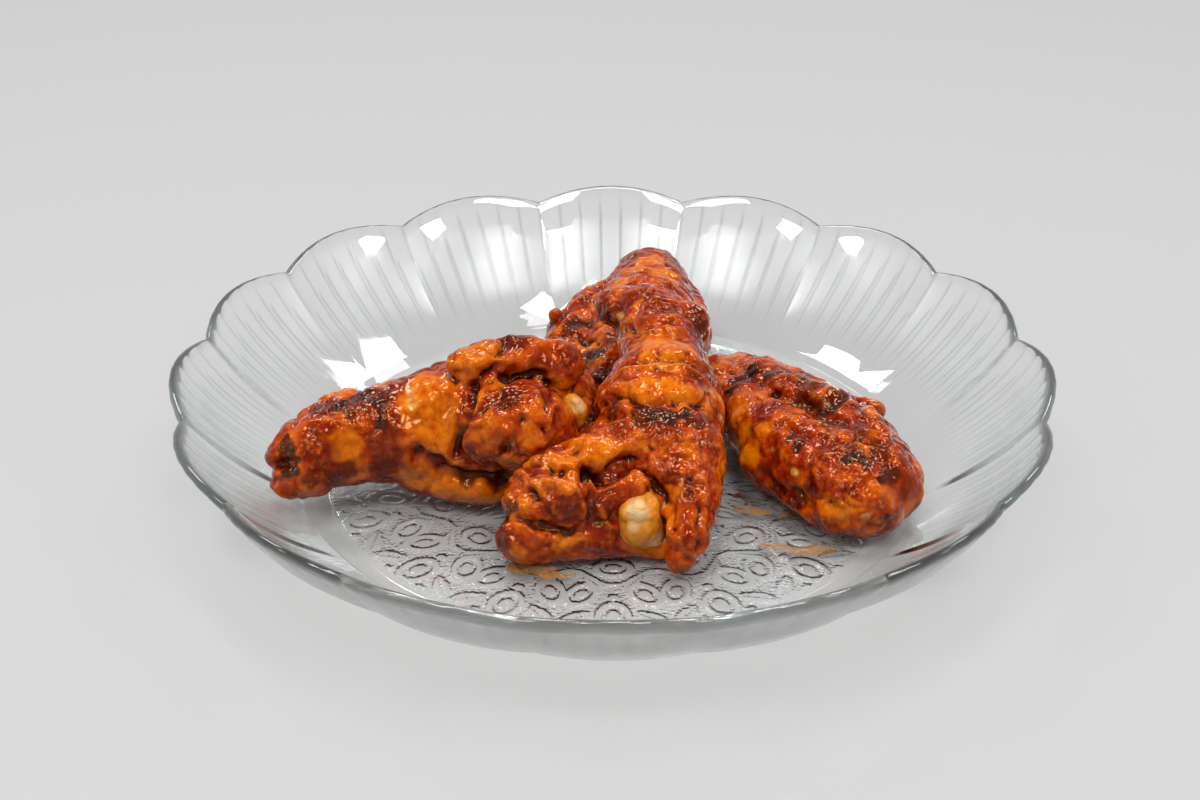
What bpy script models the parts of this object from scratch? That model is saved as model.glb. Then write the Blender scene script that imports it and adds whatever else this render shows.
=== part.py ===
"""Four glazed chicken wings on a pressed-glass plate.

Metres, +Z up.  The origin is the centre of the plate's foot, on the table.  The
plate's scalloped rim is symmetric about X and Y.  Each wing is modelled in
millimetres in a frame of its own: along runs from the thin end to the thick
end, across to the left of that, and up.
"""

import math

import bmesh
import bpy
from mathutils import Matrix, Vector, noise

MM = 0.001
CLEARANCE = 0.3 * MM          # gap left between pieces that touch

# ---- the plate -------------------------------------------------------------
RIM_RADIUS = 125 * MM         # to the tip of a scallop
RIM_HEIGHT = 35.2 * MM        # to the tip of a scallop
SCALLOPS = 16
FLUTES_PER_SCALLOP = 7        # one facet of the wall for each flute
SCALLOP_REACH = 3.6 * MM      # how far a scallop's tip stands out from its cusps
SCALLOP_RISE = 4.2 * MM       # and how far above them
SCALLOP_ROUND = 0.9           # under 1, a scallop is blunter than a cosine
FOOT_RADIUS = 88 * MM
FOOT_WIDTH = 6 * MM
FOOT_RECESS = 1.0 * MM        # the base is hollow by this inside the foot
FLOOR_TOP = 4.5 * MM          # inside of the plate, where the wings lie
RIM_THICKNESS = 2.8 * MM
WALL_BOW = math.radians(14)   # half the turn of the wall's arc
WALL_STEPS = 5

# ---- the wings ---------------------------------------------------------------
BALL_SPACING = 3.0            # along a strand, in millimetres
VOXEL = 1.1 * MM              # grain in which a wing's strands run together
SMOOTHING = 4
SKIN_WAVE = 9.0               # size of the skin's unevenness, in millimetres
WING_FACES = 1400
BONE_FACES = 160

# A wing is strands of flesh and skin that run together.  A strand is a row of
# stations, each (along, across, up, radius) in millimetres.
LEFT_WING = {
    "place": (-98, -22, 8.6),
    "yaw": 10,
    "pitch": 4,
    "unevenness": 0.8,
    "strands": {
        "limb": [(16, 2, 12, 11), (24, 4, 13.5, 12.5), (35, 5, 14.5, 14), (46, 5, 16, 16),
                 (55, 4, 18, 18), (66, 3, 19, 18.5), (77, 7, 18, 16.5), (85, 13, 16, 13.5)],
        "lower knuckle": [(6, -4.5, 5, 4.9), (13, -2, 8, 8)],
        "upper knuckle": [(5, 1, 11, 4.4), (12, 3, 13, 8)],
        "heel": [(14, 6, 15, 6.5), (24, 9, 17, 9)],
        "fold of skin": [(53, 0, 39.5, 3.2), (59, 2, 37, 7), (66, 2, 39, 6), (74, 4, 39, 6),
                         (82, 5, 35, 7.5)],
        "back of the shoulder": [(52, 14, 14, 13), (68, 17, 16, 14)],
        "round muscle": [(63, -9, 24, 11), (71, -12, 26, 12), (77, -8, 22, 10)],
        "belly": [(42, -1, 6.5, 6.5), (51, -5.5, 6.5, 7), (60, -9, 7, 7), (69, -7, 7, 7)],
    },
}
RIGHT_WING = {
    "place": (28, 46, 4.8),
    "yaw": -59,
    "pitch": 0,
    "unevenness": 1.0,
    "strands": {
        "near bone": [(10, 0, 8, 7), (22, -5, 9, 9), (40, -8, 9.5, 11), (58, -10, 10, 12),
                      (76, -8, 10.5, 13), (90, -6, 10, 11.5)],
        "far bone": [(13, 4, 9, 6.5), (26, 4, 11, 8.5), (42, 5.5, 12.5, 9.5), (58, 7, 12.5, 10),
                     (74, 5, 12.5, 11), (89, 1, 11.5, 11)],
        "ridge": [(30, 0, 16, 6), (46, 1, 18, 6.5), (58, 5, 18.5, 6)],
        "tag of skin": [(57, 13, 14, 5), (61, 19.5, 15, 2.4)],
        "hem": [(58, -17, 8, 7.5), (76, -15, 7.5, 7.2), (90, -12, 7, 7)],
    },
}
BACK_WING = {
    "place": (17, 103, 8.0),
    "yaw": -103,
    "pitch": 2,
    "unevenness": 1.0,
    "strands": {
        "limb": [(20, 0, 12, 12.5), (32, 2, 12, 14.5), (43, 3, 12, 16.5), (54, 3, 10.5, 16),
                 (66, 2, 9, 14), (78, 0, 8, 11)],
        "outer edge": [(28, 9, 10, 10), (44, 14, 10, 10.5), (58, 14, 9, 10)],
        "inner edge": [(31, -7, 11, 9), (41, -12, 11.5, 10), (54, -15.5, 10, 10),
                       (66, -13, 8, 10), (76, -6, 7, 9)],
        "tag of skin": [(54, -20, 15, 3), (56, -22.5, 19.5, 1.8)],
    },
}
FRONT_WING = {
    "place": (10, 35, 44),
    "yaw": -88,
    "pitch": 20,
    "unevenness": 0.9,
    "strands": {
        "limb": [(14, 1.5, 0, 10), (24.5, 3.5, 0, 11.8), (34.5, 4, 0, 13), (41, 3, -1, 16),
                 (48.5, 1.5, -2.5, 18.3), (57.5, 1.5, -3, 17), (66, 4, -4, 14), (76, 4, -7, 10)],
        "knuckle": [(5.5, -9, -2.5, 5.8), (12, 0.5, 1, 8.8), (16.5, 11, 0.5, 6.8)],
        "barb of skin": [(7, -11, -2, 3.5), (3, -14, -2, 1.8)],
        "shoulder": [(66, 6, 1, 13), (77, 9, 1, 8.5), (92, 7, 1, 5.8), (97.5, 4.5, -2, 4.2)],
        "upper fold": [(64, -8, 4, 8), (70, -18.5, 8, 6.2), (74, -31, 6, 5.2)],
        "inner meat": [(60, -10, -6, 13), (70, -20, -6, 12), (76, -27, -5, 10)],
        "left roll": [(82, -35, 2, 7.8), (83, -24, 6.5, 6.6)],
        "lower roll": [(90, -38, -2, 6.8), (87.5, -26, -5, 6.6), (85, -14, -5, 7.5), (88, -5, -8.5, 5),
                       (89, 3, -8, 5)],
        "middle": [(80, -15, 2, 6.5), (80, -7, 6.5, 4.2)],
        "root": [(76, -3, -4, 10), (84, 4, -6, 7)],
    },
}
# Each bone is one strand in its wing's frame, bare only at the thick end.
FRONT_BONE = [(58, 0, -3, 3.6), (76, -4, -2, 4.4), (84, -5.5, -1, 6), (88, -5.5, -0.5, 5.6)]
LEFT_BONE = [(70, 2, 21, 3.2), (80, -2.5, 25, 3.4), (86.5, -6.5, 27, 3.8)]


def scallop(angle):
    """0 at a cusp of the rim, 1 at the tip of a scallop."""
    return abs(math.cos(angle * SCALLOPS / 2)) ** SCALLOP_ROUND


def arc(start, end, bow, steps):
    """Points of the arc from start to end that sags to the right of its chord."""
    chord = end - start
    radius = chord.length / (2 * math.sin(bow))
    along = chord.normalized()
    outward = Vector((along.y, -along.x))
    centre = (start + end) / 2 - outward * radius * math.cos(bow)
    points = []
    for step in range(steps + 1):
        turn = bow * (2 * step / steps - 1)
        points.append(centre + radius * (outward * math.cos(turn) + along * math.sin(turn)))
    return points


def rim_cusp():
    """The wall's outer corner where the rim is lowest, as (radius, height)."""
    return Vector((RIM_RADIUS - SCALLOP_REACH, RIM_HEIGHT - SCALLOP_RISE))


def inner_wall():
    rim = rim_cusp() + Vector((-0.8, 0.6)) * RIM_THICKNESS
    return arc(Vector((FOOT_RADIUS - MM, FLOOR_TOP)), rim, 0.85 * WALL_BOW, WALL_STEPS)


def plate_profile():
    """The plate's section as (radius, height), from its axis round the wall and back."""
    recess_radius = FOOT_RADIUS - FOOT_WIDTH
    base = [Vector((0, FOOT_RECESS)), Vector((recess_radius - FOOT_RECESS, FOOT_RECESS)),
            Vector((recess_radius, 0))]
    cusp = rim_cusp()
    outside = arc(Vector((FOOT_RADIUS, 0)), cusp, WALL_BOW, WALL_STEPS)
    lip = cusp + Vector((-0.12, 0.62)) * RIM_THICKNESS
    return base + outside + [lip] + inner_wall()[::-1] + [Vector((0, FLOOR_TOP))]


def plate_height(spot):
    """Height of the plate's inside under a spot, the wall's scallops left out."""
    radius = math.hypot(spot.x, spot.y)
    wall = inner_wall()
    for low, high in zip(wall, wall[1:]):
        if low.x < radius <= high.x:
            return low.y + (high.y - low.y) * (radius - low.x) / (high.x - low.x)
    return FLOOR_TOP


def make_plate():
    """The section turned about the axis, then drawn out into scallops."""
    mesh = bmesh.new()
    section = [mesh.verts.new((point.x, 0, point.y)) for point in plate_profile()]
    edges = [mesh.edges.new(pair) for pair in zip(section, section[1:])]
    bmesh.ops.spin(mesh, geom=section + edges, axis=(0, 0, 1), cent=(0, 0, 0),
                   angle=math.tau, steps=SCALLOPS * FLUTES_PER_SCALLOP, use_merge=True)
    bmesh.ops.remove_doubles(mesh, verts=mesh.verts, dist=0.01 * MM)
    for vert in mesh.verts:
        radius = math.hypot(vert.co.x, vert.co.y)
        up_the_wall = min(1, (radius - FOOT_RADIUS) / (RIM_RADIUS - FOOT_RADIUS))
        if up_the_wall <= 0:
            continue
        lobe = scallop(math.atan2(vert.co.y, vert.co.x))
        grown = 1 + SCALLOP_REACH * lobe * min(1, 1.6 * up_the_wall) / radius
        vert.co.x *= grown
        vert.co.y *= grown
        vert.co.z += SCALLOP_RISE * lobe * up_the_wall ** 2
    bmesh.ops.recalc_face_normals(mesh, faces=mesh.faces)
    made = add_object("plate", mesh, GLASS)
    made.data.shade_smooth()
    made.data.set_sharp_from_angle(angle=math.radians(30))
    return made


def add_object(name, mesh, material):
    data = bpy.data.meshes.new(name)
    mesh.to_mesh(data)
    mesh.free()
    data.materials.append(material)
    made = bpy.data.objects.new(name, data)
    bpy.context.scene.collection.objects.link(made)
    return made


def make_material(name, colour, roughness, transmission=0.0):
    material = bpy.data.materials.new(name)
    material.use_nodes = True
    shader = material.node_tree.nodes["Principled BSDF"]
    shader.inputs["Base Color"].default_value = (*colour, 1)
    shader.inputs["Roughness"].default_value = roughness
    shader.inputs["Metallic"].default_value = 0
    shader.inputs["Transmission Weight"].default_value = transmission
    material.diffuse_color = (*colour, 1)
    return material


def add_modifier(made, kind, **settings):
    added = made.modifiers.new(kind.title(), kind)
    for name, value in settings.items():
        setattr(added, name, value)


def settle(made):
    """Applies the object's modifiers to its mesh."""
    mesh = bmesh.new()
    mesh.from_object(made, bpy.context.evaluated_depsgraph_get())
    made.modifiers.clear()
    mesh.to_mesh(made.data)
    mesh.free()


def frame_of(wing):
    """Carries a wing's millimetres to metres on the plate."""
    turn = Matrix.Rotation(math.radians(wing["yaw"]), 4, "Z")
    tilt = Matrix.Rotation(math.radians(wing["pitch"]), 4, "Y")
    return Matrix.Translation(Vector(wing["place"]) * MM) @ turn @ tilt @ Matrix.Scale(MM, 4)


def strand_balls(stations):
    """Balls close enough along a strand's stations to read as one tapering body."""
    balls = []
    for start, end in zip(stations, stations[1:]):
        start, end = Vector(start), Vector(end)
        steps = max(1, round((end - start).xyz.length / BALL_SPACING))
        balls += [start.lerp(end, step / steps) for step in range(steps)]
    return balls + [Vector(stations[-1])]


def fuse(name, strands, frame, material):
    """The strands run together into one closed skin, still finely meshed."""
    mesh = bmesh.new()
    for stations in strands:
        for ball in strand_balls(stations):
            size = Matrix.Diagonal((ball[3], ball[3], ball[3], 1))
            place = frame @ Matrix.Translation(Vector(ball[:3])) @ size
            bmesh.ops.create_icosphere(mesh, subdivisions=3, radius=1, matrix=place)
    made = add_object(name, mesh, material)
    add_modifier(made, "REMESH", mode="VOXEL", voxel_size=VOXEL)
    add_modifier(made, "SMOOTH", factor=0.5, iterations=SMOOTHING)
    settle(made)
    return made


def thin_out(made, faces):
    """Brings the object down to about that many triangles."""
    add_modifier(made, "DECIMATE", ratio=faces / (2 * len(made.data.polygons)))
    settle(made)


def make_meat(name, wing):
    """One wing's flesh and skin, uneven, and set down on the plate's floor."""
    made = fuse(name, wing["strands"].values(), frame_of(wing), MEAT)
    seed = Vector(wing["place"])
    for vert in made.data.vertices:
        spot = (vert.co / MM + seed) / SKIN_WAVE
        bump = noise.noise(spot) + 0.5 * noise.noise(2 * spot)
        vert.co += vert.normal * bump * wing["unevenness"] * MM
    for vert in made.data.vertices:
        vert.co.z = max(vert.co.z, plate_height(vert.co) + CLEARANCE)
    thin_out(made, WING_FACES)
    return made


def make_bone(name, wing, stations):
    made = fuse(name, [stations], frame_of(wing), BONE)
    thin_out(made, BONE_FACES)
    return made


def cut_clear(made, *neighbours):
    """Cuts its neighbours' shapes, fatter by the clearance, out of the object."""
    for neighbour in neighbours:
        cutter = neighbour.copy()
        cutter.data = neighbour.data.copy()
        bpy.context.scene.collection.objects.link(cutter)
        add_modifier(cutter, "DISPLACE", strength=1.4 * CLEARANCE, mid_level=0)
        add_modifier(made, "BOOLEAN", operation="DIFFERENCE", object=cutter)
        settle(made)
        bpy.data.objects.remove(cutter)


for old in list(bpy.data.objects):
    bpy.data.objects.remove(old)

GLASS = make_material("glass", (0.93, 0.95, 0.94), 0.03, transmission=1)
MEAT = make_material("glazed_skin", (0.45, 0.11, 0.015), 0.3)
BONE = make_material("bone", (0.85, 0.68, 0.38), 0.45)

plate = make_plate()
front_bone = make_bone("front_wing_bone", FRONT_WING, FRONT_BONE)
front_wing = make_meat("front_wing", FRONT_WING)
cut_clear(front_wing, front_bone)

left_bone = make_bone("left_wing_bone", LEFT_WING, LEFT_BONE)
left_wing = make_meat("left_wing", LEFT_WING)
cut_clear(left_wing, left_bone, front_wing)

right_wing = make_meat("right_wing", RIGHT_WING)
back_wing = make_meat("back_wing", BACK_WING)
cut_clear(right_wing, front_wing)
cut_clear(back_wing, front_wing, left_wing, right_wing)
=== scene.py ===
import itertools
import math

import bmesh
import bpy
import numpy as np
from mathutils import Matrix, Vector


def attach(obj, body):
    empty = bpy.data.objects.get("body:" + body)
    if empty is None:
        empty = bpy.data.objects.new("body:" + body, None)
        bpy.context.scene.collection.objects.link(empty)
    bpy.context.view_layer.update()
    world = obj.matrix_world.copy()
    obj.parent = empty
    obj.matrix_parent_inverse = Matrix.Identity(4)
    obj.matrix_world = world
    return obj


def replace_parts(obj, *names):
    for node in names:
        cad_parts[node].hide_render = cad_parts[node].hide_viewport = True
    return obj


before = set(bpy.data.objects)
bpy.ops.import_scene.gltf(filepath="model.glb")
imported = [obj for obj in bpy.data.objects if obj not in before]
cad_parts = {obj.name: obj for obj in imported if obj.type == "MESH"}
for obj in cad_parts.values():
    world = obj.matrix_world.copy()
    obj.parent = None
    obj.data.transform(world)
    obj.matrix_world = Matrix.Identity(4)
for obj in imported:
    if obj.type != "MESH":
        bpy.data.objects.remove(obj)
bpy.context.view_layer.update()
mm = 0.001

# one table of random slopes for every noise, so that each run gives the same shapes
tableSide = 32
slopes = np.random.default_rng(4).uniform(-1, 1, (tableSide ** 3, 3))
neighbours = list(itertools.product((-1, 0, 1), repeat=3))
corners = list(itertools.product((0, 1), repeat=3))


def slopeAt(cell):
    wrapped = cell % tableSide
    row = (wrapped[:, 0] * tableSide + wrapped[:, 1]) * tableSide + wrapped[:, 2]
    return np.take(slopes, row, axis=0)


def moveAlong(spots, size, seed):
    # the spots in cells of that size; each seed looks at another part of the table
    return spots / size + (seed, 1.7 * seed, 2.3 * seed)


def noiseAt(spots, size, seed=0.0):
    # soft lumps of about that size, between -1 and 1
    spots = moveAlong(spots, size, seed)
    low = np.floor(spots)
    part = spots - low
    ease = part ** 3 * (part * (part * 6 - 15) + 10)
    cell = low.astype(int)
    total = np.zeros(len(spots))
    for corner in corners:
        share = np.prod(np.where(corner, ease, 1 - ease), axis=1)
        total += share * np.einsum("ij,ij->i", slopeAt(cell + corner), part - corner)
    return 1.6 * total


def cellsAt(spots, size, seed=0.0):
    # distance to the nearest cell's middle, in cell sizes
    spots = moveAlong(spots, size, seed)
    cell = np.floor(spots).astype(int)
    nearest = np.full(len(spots), np.inf)
    for step in neighbours:
        middle = cell + step + 0.5 + 0.45 * slopeAt(cell + step)
        nearest = np.minimum(nearest, np.linalg.norm(spots - middle, axis=1))
    return nearest


def smoothStep(low, high, values):
    part = np.clip((values - low) / (high - low), 0, 1)
    return part * part * (3 - 2 * part)


def newObject(name, mesh, material):
    data = bpy.data.meshes.new(name)
    mesh.to_mesh(data)
    mesh.free()
    data.materials.append(material)
    made = bpy.data.objects.new(name, data)
    bpy.context.scene.collection.objects.link(made)
    return made


def addModifier(made, kind, **settings):
    added = made.modifiers.new(kind.title(), kind)
    for name, value in settings.items():
        setattr(added, name, value)


def settle(made):
    # applies the modifiers to the mesh
    mesh = bmesh.new()
    mesh.from_object(made, bpy.context.evaluated_depsgraph_get())
    made.modifiers.clear()
    mesh.to_mesh(made.data)
    mesh.free()


def getPoints(made):
    flat = np.empty(len(made.data.vertices) * 3)
    made.data.vertices.foreach_get("co", flat)
    return flat.reshape(-1, 3)


def getNormals(made):
    flat = np.empty(len(made.data.vertices) * 3)
    made.data.vertex_normals.foreach_get("vector", flat)
    return flat.reshape(-1, 3)


def setPoints(made, points):
    made.data.vertices.foreach_set("co", points.ravel())
    made.data.update()


def setField(made, name, values):
    field = made.data.attributes.new(name, "FLOAT", "POINT")
    field.data.foreach_set("value", values.astype(np.float32))


def spread(made, values, times):
    # averages values over the neighbours, again and again
    ends = np.empty(len(made.data.edges) * 2, int)
    made.data.edges.foreach_get("vertices", ends)
    ends = ends.reshape(-1, 2)
    count = len(made.data.vertices)
    degree = np.bincount(ends.ravel(), minlength=count)
    values = values.reshape(count, -1).astype(float)
    for _ in range(times):
        total = np.empty_like(values)
        for column in range(values.shape[1]):
            each = values[:, column]
            total[:, column] = (np.bincount(ends[:, 0], each[ends[:, 1]], count)
                                + np.bincount(ends[:, 1], each[ends[:, 0]], count))
        values = 0.5 * values + 0.5 * total / degree[:, None]
    return values.squeeze()


def nodeMaterial(name):
    material = bpy.data.materials.new(name)
    material.use_nodes = True
    tree = material.node_tree
    return material, tree, tree.nodes["Principled BSDF"]


def addNode(tree, kind, **settings):
    node = tree.nodes.new(kind)
    for name, value in settings.items():
        if name in node.inputs:
            node.inputs[name].default_value = value
        else:
            setattr(node, name, value)
    return node


def feed(tree, value, socket):
    # a socket is linked, a plain value is set
    if isinstance(value, bpy.types.NodeSocket):
        tree.links.new(value, socket)
    elif isinstance(value, tuple) and len(value) == 3 and socket.type == "RGBA":
        socket.default_value = (*value, 1)
    else:
        socket.default_value = value


def plug(tree, node, values):
    for name, value in values.items():
        feed(tree, value, node.inputs[name])


def noiseNode(tree, scale, detail, rough=0.5):
    where = addNode(tree, "ShaderNodeTexCoord")
    made = addNode(tree, "ShaderNodeTexNoise", Scale=scale, Detail=detail, Roughness=rough)
    tree.links.new(where.outputs["Object"], made.inputs["Vector"])
    return made.outputs["Fac"]


def rampNode(tree, source, stops):
    made = addNode(tree, "ShaderNodeValToRGB")
    ramp = made.color_ramp
    while len(ramp.elements) < len(stops):
        ramp.elements.new(0.5)
    for element, (at, colour) in zip(ramp.elements, stops):
        element.position = at
        element.color = (*colour, 1) if isinstance(colour, tuple) else (colour, colour, colour, 1)
    tree.links.new(source, made.inputs["Fac"])
    return made.outputs["Color"]


def mixColour(tree, share, first, second):
    made = addNode(tree, "ShaderNodeMix", data_type="RGBA")
    # sockets 0, 6 and 7 are the share and the two colours, and output 2 is the mixed one
    for value, number in ((share, 0), (first, 6), (second, 7)):
        feed(tree, value, made.inputs[number])
    return made.outputs[2]


def mathNode(tree, kind, first, second=0.5, clamp=False):
    made = addNode(tree, "ShaderNodeMath", operation=kind, use_clamp=clamp)
    feed(tree, first, made.inputs[0])
    feed(tree, second, made.inputs[1])
    return made.outputs[0]


def product(tree, first, second, clamp=False):
    return mathNode(tree, "MULTIPLY", first, second, clamp)


def fieldNode(tree, name):
    return addNode(tree, "ShaderNodeAttribute", attribute_name=name).outputs["Fac"]


def bumpNode(tree, layers, distance, strength=1.0):
    # layers are (height socket, share)
    total = None
    for height, share in layers:
        part = product(tree, height, share)
        total = part if total is None else mathNode(tree, "ADD", total, part)
    made = addNode(tree, "ShaderNodeBump", Distance=distance, Strength=strength)
    tree.links.new(total, made.inputs["Height"])
    return made.outputs["Normal"]


pressedGlass = {
    "colour": (0.975, 0.985, 0.98),
    "lines": (0.50, 0.53, 0.525),             # painted shade in the grooves and round the flowers
    "roughness": 0.015,
    "ior": 1.5,
    "inTheThickness": (0.50, 0.74, 0.64),     # what is left of white light deep in the glass
    "density": 7.0,
    "frosted": 0.27,                          # roughness of the fluted outside
    "frostRise": (94, 110),                   # radius over which it sets in, in millimetres
    "floorFrost": 0.35,                       # share of it between the flowers
    "shade": (0.905, 0.90, 0.90),             # of the light left behind each face
    "lineShade": (0.68, 0.68, 0.68),          # the same behind a groove
    "lineRise": (95, 108), "lineFade": (124, 121),
    "lineWidth": 0.05,                        # in flutes
    "grooveLines": 0.85, "flowerLines": 0.05,    # how strong the painted shade of the lines is
    "stipple": 0.00028,                       # metres of relief between the flowers
    "stippleScale": 900,
}
plate = {
    "rimRadius": 125.0, "rimHeight": 35.2,    # to the tip of a scallop, in millimetres
    "scallops": 16, "reach": 3.6, "rise": 4.2, "round": 0.9,
    "flutes": 7, "fluteSteps": 8,             # flutes in a scallop, facets in a flute
    "fluteDepth": 0.05, "fluteWidth": 0.5, "beadReach": 0.16,
    "fluteRise": (0.22, 0.62), "beadRise": (0.86, 0.96),    # parts of the way up the wall
    "footRadius": 88.0, "footWidth": 6.0, "footRecess": 1.0,
    "floorTop": 4.5, "rimThickness": 2.8,
    "bow": 14.0, "innerBow": 11.9,            # degrees by which the wall's two arcs sag
    "outsideSlope": 0.8,                      # what lies below this slope from the foot is outside
    "bareEdge": 0.5,                          # beside the foot ring, with no flowers
    "ringEnds": (12, 50), "ringSteps": (6, 1.3, 0.8),    # of the rings under the floor
    "floorRings": (84, 60, 30, 0),
    # points round the lip, in parts of its thickness
    "lip": ((0.02, 0.22), (-0.05, 0.46), (-0.2, 0.64), (-0.42, 0.72), (-0.64, 0.7)),
    "lipToWall": (-0.8, 0.6),
}
flowers = {
    "height": 0.24, "line": 0.8,               # of the raised lines, in millimetres
    "leafHeight": 0.75, "veinDepth": 0.5, "vein": 0.35,
    "coreHeight": 0.8,                         # of the disc inside an oval
    "ringRadius": 57.0, "ringWave": 3.0, "ringHeight": 0.6,
    "fade": (81, 80),                          # radius at which they end
    "plainFrom": (20, 45),                     # radius over which the plain ground turns rough
    # out from the axis, across, half length, half width, turned by degrees
    "ovals": [(74.6, 0, 5.6, 4.0, 0), (64.5, 8.6, 5.2, 3.3, 35), (64.5, -8.6, 5.2, 3.3, -35),
              (52.0, 0, 4.6, 3.6, 90), (40.0, 4.6, 4.8, 2.6, 24), (40.0, -4.6, 4.8, 2.6, -24)],
    "leaves": [(75.5, 10.6, 5.4, 2.2, 58), (75.5, -10.6, 5.4, 2.2, -58), (58.6, 5.2, 4.6, 1.7, -38),
               (58.6, -5.2, 4.6, 1.7, 38), (28.5, 0, 5.6, 2.0, 0)],
    "dots": [(66.0, 0, 1.6), (79.6, 6.2, 1.3), (79.6, -6.2, 1.3), (46.0, 8.4, 1.3), (46.0, -8.4, 1.3),
             (34.0, 0, 1.3), (19.0, 0, 1.5)],
}


def arcPoints(start, end, bow, steps):
    # points of the arc from start to end that sags to the right of its chord
    chord = end - start
    bow = math.radians(bow)
    radius = chord.length / (2 * math.sin(bow))
    along = chord.normalized()
    outward = Vector((along.y, -along.x))
    centre = (start + end) / 2 - outward * radius * math.cos(bow)
    turns = [bow * (2 * step / steps - 1) for step in range(steps + 1)]
    return [centre + radius * (outward * math.cos(turn) + along * math.sin(turn)) for turn in turns]


def evenly(start, end, step):
    count = max(1, round(abs(end - start) / step))
    return [start + (end - start) * index / count for index in range(count)]


def plateSection():
    # radius and height, from the axis under the plate, up the wall, over the rim and back
    foot = plate["footRadius"]
    recess = foot - plate["footWidth"]
    under = plate["footRecess"]
    ends = (0, *plate["ringEnds"], recess - under)
    section = []
    for start, end, step in zip(ends, ends[1:], plate["ringSteps"]):
        section += [Vector((radius, under)) for radius in evenly(start, end, step)]
    footEdge = Vector((foot, 0.25))
    # the foot ring, with its edges taken off
    section += [Vector((recess - under, under)), Vector((recess - 0.25, 0.15)), Vector((recess + 0.6, 0)),
                Vector((foot - 0.8, 0)), footEdge]
    cusp = Vector((plate["rimRadius"] - plate["reach"], plate["rimHeight"] - plate["rise"]))
    section += arcPoints(footEdge, cusp, plate["bow"], 15)[1:]
    section += [cusp + Vector(away) * plate["rimThickness"] for away in plate["lip"]]
    inner = cusp + Vector(plate["lipToWall"]) * plate["rimThickness"]
    floorEdge = Vector((foot - 1, plate["floorTop"]))
    section += arcPoints(floorEdge, inner, plate["innerBow"], 13)[::-1]
    section += [Vector((radius, plate["floorTop"])) for radius in plate["floorRings"]]
    return section


def softLine(away, width):
    # 1 on the line, falling off beside it
    return np.exp(-(away / width) ** 2)


def whereOnPlate(points):
    # radius, angle and flute of each point, and whether it is outside the wall or under the floor
    radius = np.hypot(points[:, 0], points[:, 1])
    angle = np.arctan2(points[:, 1], points[:, 0])
    flute = angle * plate["scallops"] * plate["flutes"] / math.tau + 0.5
    foot = plate["footRadius"]
    outside = points[:, 2] < plate["floorTop"] + (radius - foot) * plate["outsideSlope"]
    under = (points[:, 2] < plate["floorTop"] / 2) & (radius < foot - plate["footWidth"] - plate["bareEdge"])
    return radius, angle, flute, outside, under


def flowerRelief(points):
    # height of the pressed flowers, 0 to 1, the same in each of the scallops' sectors
    radius = np.hypot(points[:, 0], points[:, 1])
    sector = math.tau / plate["scallops"]
    angle = (np.arctan2(points[:, 1], points[:, 0]) + sector / 2) % sector - sector / 2
    out, across = radius * np.cos(angle), radius * np.sin(angle)
    relief = np.zeros(len(points))
    for kind in ("ovals", "leaves"):
        for middle, aside, halfLength, halfWidth, turned in flowers[kind]:
            cos, sin = math.cos(math.radians(turned)), math.sin(math.radians(turned))
            u = (out - middle) * cos + (across - aside) * sin
            v = (across - aside) * cos - (out - middle) * sin
            if kind == "leaves":
                halfWidths = halfWidth * np.clip(1 - (u / halfLength) ** 2, 0.02, 1)
                reach = np.abs(v) / halfWidths
                ends = smoothStep(halfLength + 0.6, halfLength - 0.6, np.abs(u))
                relief = np.maximum(relief, flowers["leafHeight"] * ends * smoothStep(1.25, 0.75, reach))
                relief -= flowers["veinDepth"] * ends * softLine(v, flowers["vein"]) * (reach < 1.2)
            else:
                reach = np.hypot(u / halfLength, v / halfWidth)
                relief = np.maximum(relief, softLine((reach - 1) * halfWidth, flowers["line"]))
                relief = np.maximum(relief, flowers["coreHeight"] * smoothStep(0.62, 0.3, reach))
    for middle, aside, size in flowers["dots"]:
        away = np.hypot(out - middle, across - aside) / size
        relief = np.maximum(relief, np.sqrt(np.clip(1 - away ** 2, 0, 1)))
    wave = flowers["ringWave"] * np.cos(angle * plate["scallops"])
    ring = softLine(radius - flowers["ringRadius"] - wave, flowers["line"])
    relief = np.maximum(relief, flowers["ringHeight"] * ring)
    return relief * smoothStep(*flowers["fade"], radius)


def makeGlassMaterial():
    material, tree, shader = nodeMaterial("pressedGlass")
    roughness = rampNode(tree, fieldNode(tree, "frost"),
                         [(0.0, pressedGlass["roughness"]), (1.0, pressedGlass["frosted"])])
    # painted shade: the glass turns grey along the grooves and round the flowers
    lined = mixColour(tree, fieldNode(tree, "lines"), pressedGlass["colour"], pressedGlass["lines"])
    dots = noiseNode(tree, pressedGlass["stippleScale"], 1)
    stipple = product(tree, dots, fieldNode(tree, "stipple"))
    normal = bumpNode(tree, [(stipple, 1.0)], pressedGlass["stipple"])
    plug(tree, shader, {"Base Color": lined, "Roughness": roughness, "Normal": normal,
                        "IOR": pressedGlass["ior"], "Transmission Weight": 1.0})
    deep = addNode(tree, "ShaderNodeVolumeAbsorption", Density=pressedGlass["density"])
    plug(tree, deep, {"Color": pressedGlass["inTheThickness"]})
    ending = tree.nodes["Material Output"]
    tree.links.new(deep.outputs["Volume"], ending.inputs["Volume"])
    # lamps and soft light reach what lies behind the glass
    clear = addNode(tree, "ShaderNodeBsdfTransparent")
    shade = mixColour(tree, fieldNode(tree, "lines"), pressedGlass["shade"], pressedGlass["lineShade"])
    tree.links.new(shade, clear.inputs["Color"])
    path = addNode(tree, "ShaderNodeLightPath")
    surface = shader.outputs["BSDF"]
    for kind in ("Is Diffuse Ray", "Is Shadow Ray"):
        mixed = addNode(tree, "ShaderNodeMixShader")
        tree.links.new(path.outputs[kind], mixed.inputs[0])
        tree.links.new(surface, mixed.inputs[1])
        tree.links.new(clear.outputs["BSDF"], mixed.inputs[2])
        surface = mixed.outputs["Shader"]
    tree.links.new(surface, ending.inputs["Surface"])
    return material


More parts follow.
